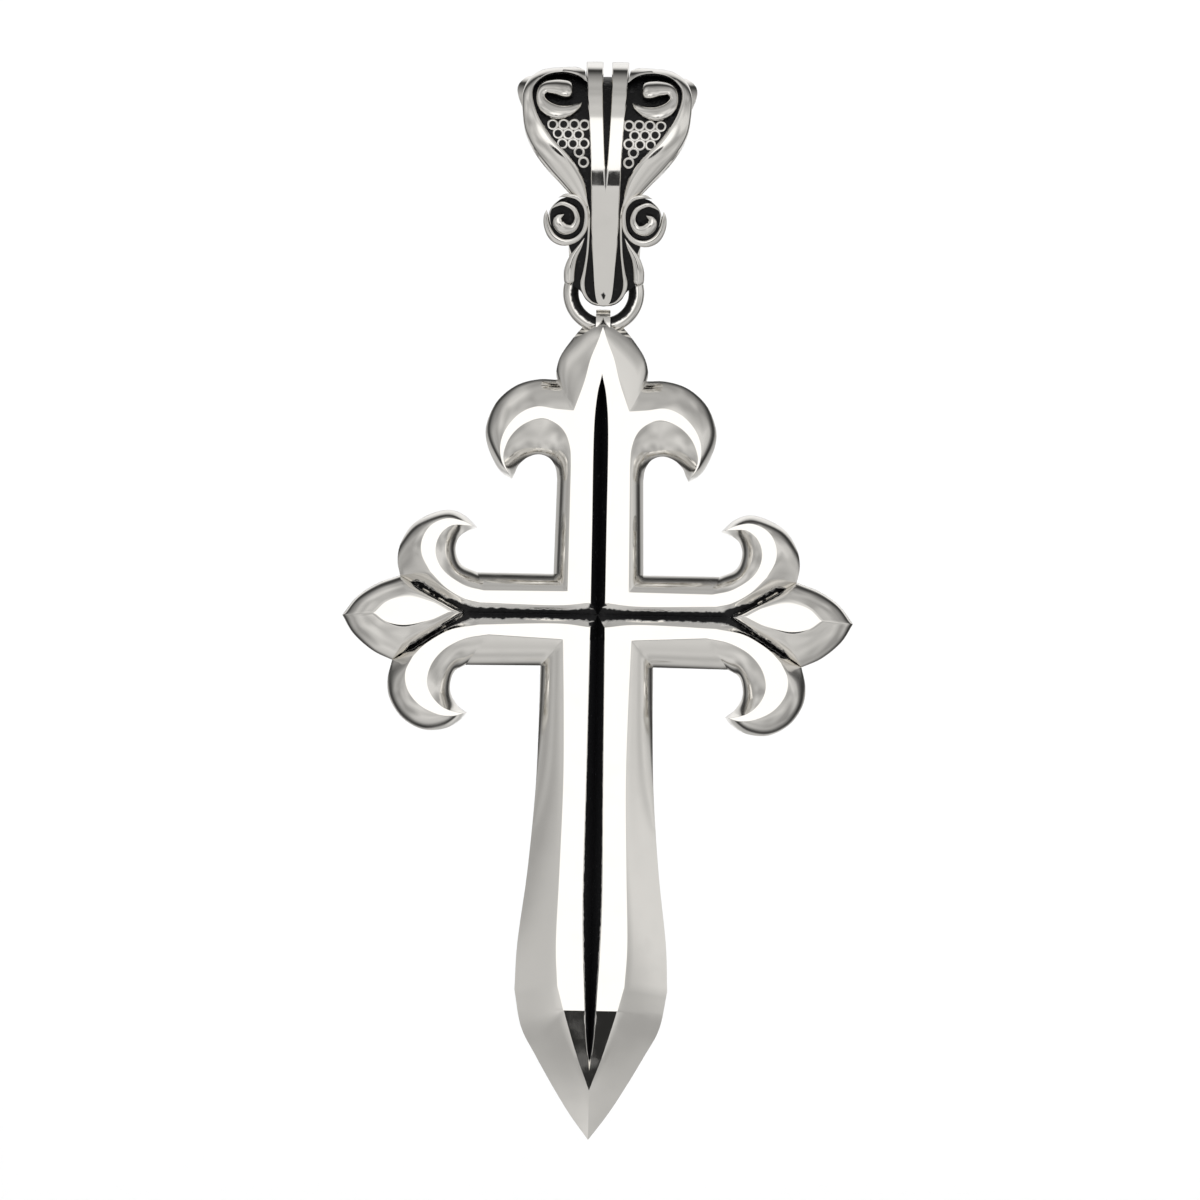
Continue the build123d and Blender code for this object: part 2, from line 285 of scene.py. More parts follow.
# The cross. Points are (x, z) in mm from the crossing, for the right half
crossShape = {
    "budRidge": [(0, 20.2), (0.35, 19.2), (0.85, 17.9), (1.25, 16.3), (1.95, 14.3)],
    "budEdge": [(0, 21.3), (0.65, 20.9), (1.5, 20.1), (2.3, 19.1), (2.95, 18.1), (3.22, 17.1),
                (3.15, 16.45)],
    "topCrown": [(1.95, 14.3), (3.2, 14.4), (4.5, 14.55), (5.7, 14.05), (6.65, 13.0), (7.05, 11.8),
                 (6.9, 10.6), (6.3, 9.6)],
    "topCrownEdge": [(3.15, 16.45), (4.5, 16.45), (6.0, 16.0), (7.3, 14.9), (8.0, 13.4), (8.05, 12.2),
                     (7.6, 10.9), (7.0, 9.95), (6.2, 9.45)],
    "topInside": [(6.3, 9.6), (6.75, 10.6), (6.75, 11.4), (6.3, 12.45), (5.4, 13.3), (4.2, 13.7),
                  (3.2, 13.4),
                  (2.5, 12.7), (2.15, 11.6), (2.08, 10.4)],
    "topInsideEdge": [(6.2, 9.45), (6.0, 9.85), (5.75, 10.4), (5.15, 10.95), (4.35, 11.2), (3.6, 10.95),
                      (3.15, 10.3), (3.02, 9.5)],
    "stave": [(2.08, 10.4), (2.15, 1.65)], "staveEdge": [(3.02, 9.5), (3.15, 2.85)],
    "armTop": [(2.15, 1.65), (8.0, 1.6)], "armTopEdge": [(3.15, 2.85), (8.5, 2.85)],
    "highInside": [(8.0, 1.6), (9.4, 1.95), (10.8, 2.9), (11.4, 4.1), (11.2, 5.3), (10.3, 6.1),
                   (8.75, 6.08)],
    "highInsideEdge": [(8.5, 2.85), (9.6, 3.35), (10.05, 4.3), (9.9, 5.15), (9.4, 5.65), (8.55, 6.0)],
    "armGroove": [(0.5, 0.85), (3.0, 0.62), (8.3, 0.72)], "armGrooveFloor": [(0, 0), (9.3, 0)],
    "highCrease": [(8.3, 0.72), (9.4, 1.0), (10.7, 1.75), (11.8, 2.85)],
    "creaseHigh": [(9.3, 0), (11.6, 1.2), (13.9, 2.55)],
    "highCrown": [(11.8, 2.85), (12.4, 4.0), (12.4, 5.1), (11.8, 6.1), (10.7, 6.6), (9.6, 6.45),
                  (8.75, 6.08)],
    "highCrownEdge": [(13.9, 2.55), (14.1, 3.6), (13.9, 4.8), (13.1, 6.1), (11.8, 6.9), (10.5, 7.2),
                      (9.4, 6.8), (8.55, 6.0)],
    "lowGroove": [(0.5, -0.85), (3.0, -0.62), (8.3, -0.8)],
    "lowCrease": [(8.3, -0.8), (10.3, -1.2), (12.0, -2.2), (12.9, -3.1)],
    "creaseLow": [(9.3, 0), (11.8, -1.7), (14.35, -3.4)],
    "lowCrown": [(12.9, -3.1), (13.4, -4.2), (13.25, -5.4), (12.4, -6.5), (11.1, -7.15), (10.1, -7.25),
                 (9.25, -7.05)],
    "lowCrownEdge": [(14.35, -3.4), (14.65, -4.8), (14.45, -6.15), (13.55, -7.45), (12.15, -8.2),
                     (10.65, -8.15), (9.6, -7.6), (9.05, -7.0)],
    "lowInside": [(9.25, -7.05), (10.5, -6.75), (11.4, -6.0), (11.85, -4.9), (11.55, -3.6), (10.6, -2.5),
                  (9.2, -1.8), (7.6, -1.5)],
    "lowInsideEdge": [(9.05, -7.0), (9.7, -6.5), (10.2, -5.7), (10.25, -4.9), (9.95, -4.1), (9.2, -3.65)],
    "armFoot": [(7.6, -1.5), (2.4, -1.75)], "armFootEdge": [(9.2, -3.65), (3.95, -3.6)],
    "bladeFlank": [(2.4, -1.75), (2.25, -7), (2.2, -12), (2.35, -18), (2.5, -23), (2.35, -26)],
    "bladeEdge": [(3.95, -3.6), (4.0, -8), (4.15, -12.5), (4.6, -18), (5.2, -23), (5.35, -26.3)],
    "tipFlank": [(2.35, -26), (1.75, -28.2), (0.95, -30.8), (0, -33.3)],
    "tipEdge": [(5.35, -26.3), (4.85, -28.9), (3.8, -30.9), (2.65, -32.9), (1.4, -34.9), (0, -36.8)],
    "staveGroove": [(0, 16.9), (0.33, 15.2), (0.5, 12.5), (0.5, 6.0), (0.5, 0.85)],
    "bladeGrooveHead": [(0.5, -0.85), (0.52, -1.75)],
    "bladeGroove": [(0.52, -1.75), (0.6, -11.9), (0.68, -18.9), (0.62, -22.9), (0.45, -26.5), (0.3, -29.5),
                    (0, -31.9)],
    "grooveTail": [(0, -31.9), (0, -33.3)],
    "wornGroove": (-12.0, -24.0),      # between these heights the blackening of the groove wears thin
    "support": 0.08,            # how near an edge the flat of the blade begins
    "grooveDepth": 0.75, "armGrooveDepth": 0.55,
    "edgeDrop": 1.55,           # front face down to the edge of the bevels
    "bladeDrop": 1.05,          # the same on the blade, whose sides are flatter
    "tipTilt": 10.5, "tipFrom": -27.7,     # degrees that the face falls away towards the blade's point
    "softEdge": 0.11,           # mm that the bevels' edges are rounded by
    "reliefRadius": 0.85,       # clear space round the ring's wire, and behind the bud's tip
    "reliefHalfWidth": 6.0, "reliefBack": 4.0, "reliefTop": 3.0,     # how far the cut runs, past the metal
}


def crossPoint(x, z, y):
    return Vector((x, y, z + crossingZ))


def bevelBand(bm, ridge, edge, dark, low=24, high=66, lanes=6, floorMix=None, start=0.0):
    # ridge and edge: rows of (x, z); floorMix says per point how far the band is a plain straight slope
    drop = crossShape["edgeDrop"]
    shares = roundOver(low, high, lanes)
    rows = []
    for k, (along, down) in enumerate(shares):
        t = k / lanes
        row = []
        for i, (a, b) in enumerate(zip(ridge, edge)):
            flat, depth = floorMix[i] if floorMix else (0.0, drop)
            g = along + (t - along) * flat
            f = down + (t - down) * flat
            p = a.lerp(b, g)
            row.append((crossPoint(p.x, p.y, frontY + start + (depth - start) * f), dark(i, t), 0))
        rows.append(row)
    loftLanes(bm, rows)


def easedBlade(step):
    # 0 at the blade's root, 1 where its sides have become flat
    share = min(1.0, max(0.0, (step - 4) / 34))
    return share * share * (3 - 2 * share)


def cutRelief(piece):
    # the round groove that the ring's wire lies in, open to the back above it
    radius, half = crossShape["reliefRadius"], crossShape["reliefHalfWidth"]
    back, top = crossShape["reliefBack"], crossShape["reliefTop"]
    line = [(-radius, top)]
    line += [(radius * cos(radians(a)), radius * sin(radians(a))) for a in range(180, 361, 12)]
    line += [(back, 0.0), (back, top)]
    bm = bmesh.new()
    row = [bm.verts.new(Vector((-half, y, z + ringBottomZ)) * mm) for y, z in line]
    face = bm.faces.new(row)
    made = bmesh.ops.extrude_face_region(bm, geom=[face])["geom"]
    far = [g for g in made if isinstance(g, bmesh.types.BMVert)]
    bmesh.ops.translate(bm, vec=(2 * half * mm, 0, 0), verts=far)
    bmesh.ops.recalc_face_normals(bm, faces=bm.faces[:])
    mesh = bpy.data.meshes.new("relief")
    bm.to_mesh(mesh)
    bm.free()
    cutter = bpy.data.objects.new("relief", mesh)
    bpy.context.scene.collection.objects.link(cutter)
    cut = piece.modifiers.new("relief", "BOOLEAN")
    cut.operation = "DIFFERENCE"
    cut.object = cutter
    piece.modifiers.remove(piece.modifiers["even"])
    solid = bpy.data.meshes.new_from_object(piece.evaluated_get(bpy.context.evaluated_depsgraph_get()))
    piece.modifiers.remove(cut)
    old = piece.data
    piece.data = solid
    solid.name = old.name + "_cut"
    bpy.data.meshes.remove(old)
    bpy.data.objects.remove(cutter)
    weighNormals(piece)


def makeCrossBody():
    s = crossShape
    bm = bmesh.new()
    bevelBand(bm, flow(s["budRidge"], 20), flow(s["budEdge"], 20), lambda i, t: 0.0)
    bevelBand(bm, flow(s["topCrown"], 36), flow(s["topCrownEdge"], 36), lambda i, t: 0.0)
    ridge = route([(40, s["topInside"]), (24, s["stave"]), (20, s["armTop"]), (28, s["highInside"])])
    edge = route([(40, s["topInsideEdge"]), (24, s["staveEdge"]), (20, s["armTopEdge"]),
                  (28, s["highInsideEdge"])])
    # painted shade: these inner bevels are painted darker towards their outer edge, where the silhouette
    # falls into shade and reflects the dark gap
    bevelBand(bm, ridge, edge, lambda i, t: max(0.0, t - 0.8) * 1.4)
    for groove, crease, crown, floorCrease, crownEdge in (
            ("armGroove", "highCrease", "highCrown", "creaseHigh", "highCrownEdge"),
            ("lowGroove", "lowCrease", "lowCrown", "creaseLow", "lowCrownEdge")):
        ridge = route([(24, s[groove]), (16, s[crease]), (30, s[crown])])
        edge = route([(24, s["armGrooveFloor"]), (16, s[floorCrease]), (30, s[crownEdge])])
        depths = [(1.0, s["armGrooveDepth"] if i else s["grooveDepth"]) for i in range(24)]
        for i in range(17):
            depths.append((1.0, s["armGrooveDepth"] + (s["edgeDrop"] - s["armGrooveDepth"]) * i / 16))
        depths += [(max(0.0, 1 - i / 8), s["edgeDrop"]) for i in range(1, 31)]
        strength = 1.2 if groove == "armGroove" else 1.0

        def grooveDark(i, t):
            # dark along the groove, less in the crease, and only at the foot of the hook's crown
            if i < 30:
                return t * strength
            if i < 38:
                return t - 0.1
            return max(0.0, t - 0.8 - (i - 38) * 0.05)

        bevelBand(bm, ridge, edge, grooveDark, floorMix=depths)
    ridge = route([(34, s["lowInside"]), (20, s["armFoot"])])
    edge = route([(34, s["lowInsideEdge"]), (20, s["armFootEdge"])])
    # painted shade: this bevel is painted darker towards its outer edge, where the silhouette falls into
    # shade and reflects the dark gap
    bevelBand(bm, ridge, edge, lambda i, t: max(0.0, t - 0.8) * 1.2)
    ridge = route([(60, s["bladeFlank"]), (28, s["tipFlank"])])
    edge = route([(60, s["bladeEdge"]), (28, s["tipEdge"])])
    flats = []
    for i in range(89):
        settle = easedBlade(i)
        flats.append((0.85 * settle, s["edgeDrop"] + (s["bladeDrop"] - s["edgeDrop"]) * settle))
    bevelBand(bm, ridge, edge, lambda i, t: 0.0, low=20, high=66, floorMix=flats)
    # the V grooves, which meet the arms' grooves at the crossing
    wornFrom, wornTo = s["wornGroove"]
    for name, steps, slot in (("staveGroove", 60, 1), ("bladeGrooveHead", 4, 1), ("bladeGroove", 80, 0)):
        line = flow(s[name], steps)
        crossing = {"staveGroove": steps, "bladeGrooveHead": 0}.get(name)
        lanes = []
        for k in range(7):
            share = k / 6
            row = []
            for i, p in enumerate(line):
                level = p.y * (1 - share) if i == crossing else p.y
                depth = s["grooveDepth"] * share * min(1, p.x / 0.3)
                wear = min(1.0, max(0.0, (wornFrom - p.y) / (wornFrom - wornTo)))
                worn = 1.0 - 0.6 * wear * max(0.0, 1 - share * 2)
                tint = (0.3 if k == 0 else worn) * min(1.0, p.x / 0.2)
                row.append((crossPoint(p.x * (1 - share), level, frontY + depth), tint, slot))
            lanes.append(row)
        loftLanes(bm, lanes)
    # the flat of the blade, between its groove and its ridge
    inner = route([(80, s["bladeGroove"]), (8, s["grooveTail"])])
    outer = route([(60, s["bladeFlank"]), (28, s["tipFlank"])])
    lanes = []
    for near, share in ((0, 0.0), (1, 0.0), (0, 0.5), (1, 1.0), (0, 1.0)):
        row = []
        for a, b in zip(inner, outer):
            inset = near * min(s["support"], (b - a).length / 3) / max(1e-6, (b - a).length)
            p = a.lerp(b, share + (inset if share == 0 else -inset))
            row.append((crossPoint(p.x, p.y, frontY), 0.3 if share + near == 0 else 0.0, 0))
        lanes.append(row)
    loftLanes(bm, lanes)
    # the right half of the outline's wall, down to the back
    outlineLegs = [(20, s["budEdge"]), (36, s["topCrownEdge"]), (40, s["topInsideEdge"]),
                   (24, s["staveEdge"]),
                   (20, s["armTopEdge"]), (28, s["highInsideEdge"]), (30, s["highCrownEdge"][::-1]),
                   (16, s["creaseHigh"][::-1]), (16, s["creaseLow"]), (30, s["lowCrownEdge"]),
                   (34, s["lowInsideEdge"]), (20, s["armFootEdge"]), (60, s["bladeEdge"]),
                   (28, s["tipEdge"])]
    rim = route(outlineLegs)
    creaseFrom = 20 + 36 + 40 + 24 + 20 + 28 + 30
    tops = []
    for i in range(len(rim)):
        k = i - creaseFrom
        depth = s["edgeDrop"]
        if 0 < k <= 16:
            depth = s["edgeDrop"] + (s["armGrooveDepth"] - s["edgeDrop"]) * k / 16
        elif 16 < k < 32:
            depth = s["armGrooveDepth"] + (s["edgeDrop"] - s["armGrooveDepth"]) * (k - 16) / 16
        blade = i - (creaseFrom + 32 + 30 + 34 + 20)
        if blade > 0:
            depth += (s["bladeDrop"] - s["edgeDrop"]) * easedBlade(blade)
        tops.append(frontY + depth)
    lower = backY - 0.25
    lanes = [[(crossPoint(p.x, p.y, y), 0.0, 0) for p, y in zip(rim, tops)],
             [(crossPoint(p.x, p.y, lower), 0.0, 0) for p in rim],
             [(crossPoint(p.x, p.y, backY), 0.0, 0) for p in rim]]
    loftLanes(bm, lanes)
    bmesh.ops.mirror(bm, geom=bm.verts[:] + bm.edges[:] + bm.faces[:], axis="X", merge_dist=1e-7)
    bmesh.ops.remove_doubles(bm, verts=bm.verts[:], dist=3e-5)
    fillLevels(bm)
    # the front of the blade falls away towards the point
    start = (s["tipFrom"] + crossingZ) * mm
    for offset in (0.1, 0.0, -0.1):
        bmesh.ops.bisect_plane(bm, geom=bm.verts[:] + bm.edges[:] + bm.faces[:], dist=1e-7,
                               plane_co=(0, 0, start + offset * mm), plane_no=(0, 0, 1))
    for vert in bm.verts:
        below = start - vert.co.z
        depth = vert.co.y / mm - frontY
        if below > 0 and depth < s["bladeDrop"] + 0.01:
            ease = 4 * mm * min(1.0, depth / s["bladeDrop"])
            fall = below - ease / 2
            if below < ease:
                fall = below ** 2 / (2 * ease)
            vert.co.y += fall * tan(radians(s["tipTilt"]))
    piece = newPiece("cross_casting", bm, "cross", ["cross_body"], [silver, blackened],
                     mirrored=False, bevel=s["softEdge"], sharp=15, flatFaces=True)
    cutRelief(piece)


makeCrossBody()


petalShape = {
    "edge": [(13.9, 2.55), (15.5, 1.95), (16.9, 1.0), (17.9, -0.3)],
    "edgeLow": [(17.9, -0.3), (17.1, -1.6), (15.75, -2.75), (14.35, -3.4)],
    "creaseHigh": [(9.3, 0), (11.6, 1.2), (13.9, 2.55)], "creaseLow": [(14.35, -3.4), (11.8, -1.7),
                   (9.3, 0)],
    "lens": [(10.0, 0.1), (11.6, 0.95), (13.3, 1.4), (14.9, 0.9), (16.0, -0.15)],
    "lensLow": [(16.0, -0.15), (14.9, -0.92), (13.5, -1.22), (11.8, -0.75), (10.0, 0.1)],
    "lensDrop": 0.1, "lensRoll": 0.24,     # mm below the front face at the lens's edge, and where that ends
    "edgeDrop": 1.55, "creaseLift": 0.95,  # the outline's depth, and how much less of it at the crease
    "softEdge": 0.05,
}


def makePetal(side):
    s = petalShape
    bm = bmesh.new()
    ridge = route([(32, s["lens"]), (32, s["lensLow"])])
    edge = route([(16, s["creaseHigh"]), (16, s["edge"]), (16, s["edgeLow"]), (16, s["creaseLow"])])
    depths = []
    for i in range(65):
        near = max(0.0, 1 - min(i, 64 - i) / 16)
        depths.append((0.0, s["edgeDrop"] - s["creaseLift"] * near))

    def creaseDark(i, t):
        return max(0.0, t * 1.1 - 0.25) if i < 14 or i > 50 else 0.0

    bevelBand(bm, ridge, edge, creaseDark, low=16, high=66, floorMix=depths, start=s["lensDrop"])
    # the lens rolls in a little from its edge and is flat in the middle
    lanes = []
    for share in (0.0, 0.06, 0.14, s["lensRoll"]):
        row = []
        for p in ridge:
            axisPoint = Vector((min(max(p.x, 11.5), 14.5), 0.0))
            q = p.lerp(axisPoint, share)
            rise = s["lensDrop"] * (1 - share / s["lensRoll"]) ** 2
            row.append((crossPoint(q.x, q.y, frontY + rise), 0.0, 0))
        lanes.append(row)
    loftLanes(bm, lanes)
    tops = [frontY + depth for _, depth in depths]
    loftLanes(bm, [[(crossPoint(p.x, p.y, y), 0.0, 0) for p, y in zip(edge, tops)],
                   [(crossPoint(p.x, p.y, backY), 0.0, 0) for p in edge]])
    bmesh.ops.remove_doubles(bm, verts=bm.verts[:], dist=1.2e-5)
    fillLevels(bm)
    if side == "left":
        bmesh.ops.scale(bm, vec=(-1, 1, 1), verts=bm.verts[:])
    newPiece("petal_" + side + "_shell", bm, "cross", ["petal_" + side], [silver],
             mirrored=False, bevel=s["softEdge"], flatFaces=True)


for side in ("left", "right"):
    makePetal(side)


ringShape = {"wireSteps": 28, "turns": 96}


def makeRing():
    low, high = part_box("link_ring")
    wire = (high.y - low.y) / 2
    middle = (low + high) / 2
    radius = (high.x - low.x) / 2 - wire
    bm = bmesh.new()
    made = bmesh.ops.create_circle(bm, segments=ringShape["wireSteps"], radius=wire,
                                   matrix=Matrix.Translation(middle + Vector((radius, 0, 0))))
    circle = {e for v in made["verts"] for e in v.link_edges}
    bmesh.ops.spin(bm, geom=list(circle) + made["verts"], cent=middle, axis=(0, 1, 0), angle=2 * pi,
                   steps=ringShape["turns"], use_merge=True)
    patina_and_shade = bm.verts.layers.float.new("patina_and_shade")
    for vert in bm.verts:
        out = vert.co - middle
        reach = (sqrt(out.x ** 2 + out.z ** 2) - radius) / wire
        # painted shade: the wire's inner half, towards the ring's hole, is painted dark for the shade and
        # dark reflection there; the outer half stays bright silver
        vert[patina_and_shade] = min(1.0, max(0.0, 0.42 - 1.1 * reach))
    newPiece("link_ring_wire", bm, "ring", ["link_ring"], [silver], mirrored=False)


makeRing()

# The bail. Its side view is an arch with two leaves that close on the foot. Points are (x, z) in mm as seen
# from the front, with a height above the saddle's skin; strapSide alone is (y, z), the strap from the side
bailShape = {
    "lean": 18.8,               # degrees that each leaf leans in towards the foot
    "strapSide": [(0, 5.68), (-2.6, 5.1), (-4.35, 3.6), (-5.0, 2.0), (-5.13, 1.2), (-5.16, -0.2),
                  (-5.13, -1.5),
                  (-5.06, -2.2), (-4.98, -2.7), (-4.87, -3.2), (-4.79, -3.4), (-4.4, -4.28), (-3.1, -7.2),
                  (-1.34, -11.1), (-1.2, -11.38)],
    "strapEdge": [(0.0, -11.45), (0.34, -11.36), (0.55, -11.0), (0.7, -10.0), (0.84, -8.0), (0.95, -6.0),
                  (1.0, -3.5), (1.15, 0.0), (1.35, 3.0), (1.5, 5.68)],
    "gapHalf": 0.3, "gapEnd": -3.5, "gapFull": 3.0,
    "pipZ": -10.75, "pipHalfWidth": 0.13, "pipHalfHeight": 0.25,     # the small dark flaw near the tip
}


def onBail(x, z, h):
    # a height h above the saddle: round the arch, then down the front leaf
    lean = radians(bailShape["lean"])
    radius = saddleRadius + h
    turn = -radius * sin(lean)
    z = min(z, radius)
    if z >= turn:
        return Vector((x, -sqrt(radius * radius - z * z), z))
    return Vector((x, -(radius * cos(lean) - (turn - z) * tan(lean)), z))


strapEdgeLine = flow(bailShape["strapEdge"], 80)


def strapHalf(z):
    # half the strap's width at a height
    line = strapEdgeLine
    for a, b in zip(line, line[1:]):
        if a.y <= z <= b.y:
            return a.x + (b.x - a.x) * (z - a.y) / max(1e-6, b.y - a.y)
    return line[-1].x if z > line[-1].y else 0.0


def makeStrap():
    s = bailShape
    side = flow(s["strapSide"], 90)
    bm = bmesh.new()
    lanes = []
    for across, sink in ((0.0, 1.0), (0.0, 0.06), (0.06, 0.0), (0.12, 0.0), (0.5, 0.0), (0.88, 0.0),
                         (0.94, 0.0),
                         (1.0, 0.06), (1.0, 1.0)):
        row = []
        for p in side:
            y, z = p.x, p.y
            half = strapHalf(z)
            gap = s["gapHalf"] * min(1.0, max(0.0, (z - s["gapEnd"]) / (s["gapFull"] - s["gapEnd"])))
            gap = min(gap, half * 0.9)
            lip = min(0.08, (half - gap) * 0.3)
            x = gap + (half - gap) * across
            if across < 0.05:
                lip *= min(1.0, gap / 0.1)
            if sink == 1.0 and (across == 1.0 or gap > 0.01):
                spread = sqrt(y * y + z * z)
                base = (Vector((x, y * (saddleRadius - 0.05) / spread, z * (saddleRadius - 0.05) / spread))
                        if z > -1.4 else onBail(x, z, -0.08))
            else:
                base = Vector((x, y, z)) - Vector((0, y, max(z, 0.0))).normalized() * (lip if sink else 0.0)
            pip = (x / s["pipHalfWidth"]) ** 2 + ((z - s["pipZ"]) / s["pipHalfHeight"]) ** 2
            row.append((base, max(0.0, 0.8 - 0.4 * pip), 0))
        lanes.append(row)
    loftLanes(bm, lanes)
    bmesh.ops.mirror(bm, geom=bm.verts[:] + bm.edges[:] + bm.faces[:], axis="Y", merge_dist=1e-6)
    newPiece("strap_bands", bm, "bail", ["split_strap"], [silver], sharp=40)


def bandOnBail(bm, lanes, steps):
    # lanes: (points, heights, patina); the heights run evenly along the lane
    rows = []
    for points, heights, dark in lanes:
        line = flow(points, steps)
        tall = flow([(i / max(1, len(heights) - 1), h) for i, h in enumerate(heights)], steps)
        rows.append([(onBail(p.x, p.y, h.y), dark, 0) for p, h in zip(line, tall)])
    loftLanes(bm, rows)


rimShape = {
    "inner": [(1.42, 4.1), (2.1, 4.62), (3.2, 4.85), (4.3, 4.6), (5.05, 3.9), (5.2, 3.1), (4.9, 2.0),
              (4.35, 1.0),
              (3.65, 0), (2.65, -1), (1.9, -2), (1.42, -3), (1.15, -4.5)],
    "outer": [(1.6, 5.05), (2.3, 5.32), (3.2, 5.38), (4.3, 5.15), (5.35, 4.5), (5.88, 3.5), (5.9, 2.5),
              (5.72, 1.0),
              (5.35, 0), (4.75, -1), (3.95, -2), (3.0, -3), (1.55, -4.6)],
}


def between(a, b, share):
    return [(p[0] + (q[0] - p[0]) * share, p[1] + (q[1] - p[1]) * share) for p, q in zip(a, b)]


def makeRim(side):
    s = rimShape
    bm = bmesh.new()
    i, o = s["inner"], s["outer"]
    lanes = [(i, (-0.1, -0.1, -0.1), 1.0), (i, (0.42, 0.4, 0.15), 0.45),
             (between(i, o, 0.08), (0.6, 0.56, 0.28), 0.0), (between(i, o, 0.2), (0.66, 0.6, 0.3), 0.0),
             (between(i, o, 0.45), (0.72, 0.56, 0.28), 0.0), (between(i, o, 0.7), (0.76, 0.42, 0.22), 0.0),
             (between(i, o, 0.88), (0.78, 0.24, 0.14), 0.0), (o, (0.78, 0.02, 0.02), 0.0),
             (between(i, o, 1.04), (0.5, -0.4, -0.4), 0.0), (o, (-0.1, -0.9, -0.9), 0.0)]
    bandOnBail(bm, lanes, 72)
    inside = [f for f in bm.faces if all(abs(v.co.y) < 0.02 * mm for v in f.verts)]
    bmesh.ops.delete(bm, geom=inside, context="FACES")
    bmesh.ops.mirror(bm, geom=bm.verts[:] + bm.edges[:] + bm.faces[:], axis="Y", merge_dist=1e-6)
    if side == "left":
        bmesh.ops.scale(bm, vec=(-1, 1, 1), verts=bm.verts[:])
    newPiece("rim_" + side, bm, "bail", ["heart_rim_" + side], [silver], mirrored=False,
             sharp=50)


def tubeOnBail(bm, points, steps, sides, squash=0.8):
    # points: (x, z, height of the middle, radius)
    line = flow([Vector(p) for p in points], steps)
    rows = []
    for k in range(sides + 1):
        turn = 2 * pi * k / sides
        row = []
        for i, p in enumerate(line):
            a, b = line[max(0, i - 1)], line[min(steps, i + 1)]
            along = Vector((b.x - a.x, b.y - a.y)).normalized()
            off = max(0.0, p.w) * cos(turn)
            row.append((onBail(p.x - along.y * off, p.y + along.x * off,
                               p.z + max(0.0, p.w) * squash * sin(turn)), 0.0, 0))
        rows.append(row)
    loftLanes(bm, rows)


scrollShape = {
    "heart": [(1.75, 2.75, 0.1, 0.0), (2.05, 2.45, 0.2, 0.22), (2.75, 2.12, 0.28, 0.42),
              (3.6, 2.05, 0.3, 0.55),
              (4.35, 2.45, 0.3, 0.5), (4.66, 3.15, 0.3, 0.34), (4.35, 3.72, 0.34, 0.46),
              (3.65, 3.8, 0.36, 0.58),
              (3.05, 3.7, 0.36, 0.66), (2.68, 3.64, 0.34, 0.62), (2.46, 3.62, 0.3, 0.46),
              (2.34, 3.62, 0.25, 0.0)],
    "neck": [(3.75, -4.75, 0.2, 0.0), (3.4, -4.5, 0.25, 0.1), (2.9, -4.38, 0.3, 0.15),
             (2.2, -4.75, 0.3, 0.18),
             (1.95, -5.45, 0.3, 0.22), (2.25, -6.05, 0.32, 0.3), (2.85, -6.12, 0.35, 0.42),
             (3.25, -5.75, 0.35, 0.4),
             (3.2, -5.35, 0.32, 0.26), (2.85, -5.1, 0.25, 0.0)],
    "collar": [(3.3, -3.95, 0.1, 0.0), (2.7, -3.8, 0.2, 0.13), (1.9, -4.0, 0.25, 0.16),
               (1.4, -4.6, 0.25, 0.17),
               (1.3, -5.4, 0.25, 0.17), (1.5, -6.3, 0.25, 0.17), (2.1, -6.9, 0.2, 0.2),
               (2.9, -7.05, 0.1, 0.26),
               (3.6, -6.7, 0.0, 0.3), (4.0, -6.0, -0.05, 0.26), (4.12, -5.3, -0.05, 0.18),
               (4.1, -4.8, 0.0, 0.0)],
}


def makeScrolls(side):
    s = scrollShape
    for name, node, tubes in (("heart_curl_", "heart_scroll_", ("heart",)),
                              ("neck_curl_", "neck_scroll_", ("neck", "collar"))):
        bm = bmesh.new()
        for tube in tubes:
            tubeOnBail(bm, s[tube], 90, sides=16)
        if side == "left":
            bmesh.ops.scale(bm, vec=(-1, 1, 1), verts=bm.verts[:])
        newPiece(name + side, bm, "bail", [node + side], [silver], mirrored=False,
                 sharp=60)


railShape = {
    "inner": [(1.22, -4.4, 0.0, 0.04), (1.12, -5.2, 0.2, 0.08), (1.13, -6.4, 0.22, 0.08),
              (1.2, -7.8, 0.22, 0.08),
              (1.36, -9.0, 0.22, 0.11), (1.5, -9.9, 0.2, 0.17), (1.34, -10.6, 0.18, 0.13),
              (0.9, -11.14, 0.12, 0.07),
              (0.4, -11.34, 0.06, 0.05), (0.0, -11.38, 0.05, 0.05)],
    "outer": [(1.4, -6.7, 0.1, 0.0), (1.7, -7.3, 0.1, 0.16), (2.15, -8.1, 0.1, 0.3),
              (2.38, -8.9, 0.12, 0.4),
              (2.42, -9.5, 0.12, 0.4), (2.4, -9.85, 0.12, 0.34), (2.38, -10.05, 0.1, 0.0)],
}


def makeRails(side):
    for name in ("inner", "outer"):
        bm = bmesh.new()
        tubeOnBail(bm, railShape[name], 60, sides=12)
        if side == "left":
            bmesh.ops.scale(bm, vec=(-1, 1, 1), verts=bm.verts[:])
        newPiece(name + "_rail_wire_" + side, bm, "bail", [name + "_rail_" + side],
                 [silver], mirrored=False, sharp=60)


def makeSaddle():
    bm = bmesh.new()
    bm.from_mesh(frame["nodes"]["bail_saddle"].data)
    bm.verts.layers.float.new("patina_and_shade")
    newPiece("saddle", bm, "bail", ["bail_saddle"], [silver], mirrored=False, sharp=30,
             bevel=0.06, flatFaces=True)


